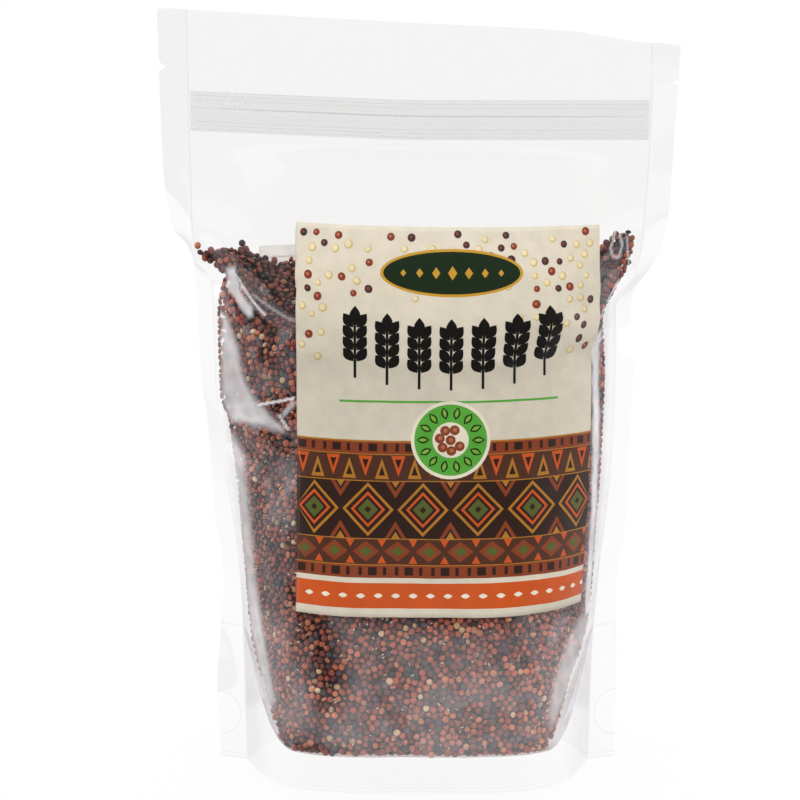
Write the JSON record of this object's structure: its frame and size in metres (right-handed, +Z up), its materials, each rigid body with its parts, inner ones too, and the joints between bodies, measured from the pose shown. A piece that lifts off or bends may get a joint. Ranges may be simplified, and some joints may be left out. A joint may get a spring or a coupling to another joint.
{
  "type": "stand-up pouch of red quinoa",
  "caption": "Clear stand-up zip pouch filled with red quinoa grain, with flat sealed edges, a press zip below the top, a folded base and a printed label on the front and the back.",
  "frame": {"origin": "on the floor under the middle of the pouch, at the middle of the bounding box's base", "axes": "+Z up from the folded base to the zip and the top edge; -Y out of the front, the face with the large printed label; +X to the right as the front is looked at"},
  "size_m": [0.142, 0.0688, 0.2082],
  "materials": {
    "film_and_grain": "clear glossy film over dark red grain",
    "zip_strip": "milky clear ribbed strip",
    "label_front": "satin printed film in beige, dark brown, orange and green",
    "label_back": "satin, plain off-white"
  },
  "bodies": {
    "root": {"pouch": "film_and_grain", "zip_strip_front": "zip_strip", "zip_strip_back": "zip_strip", "label_front": "label_front", "label_back": "label_back"}
  },
  "joints": []
}
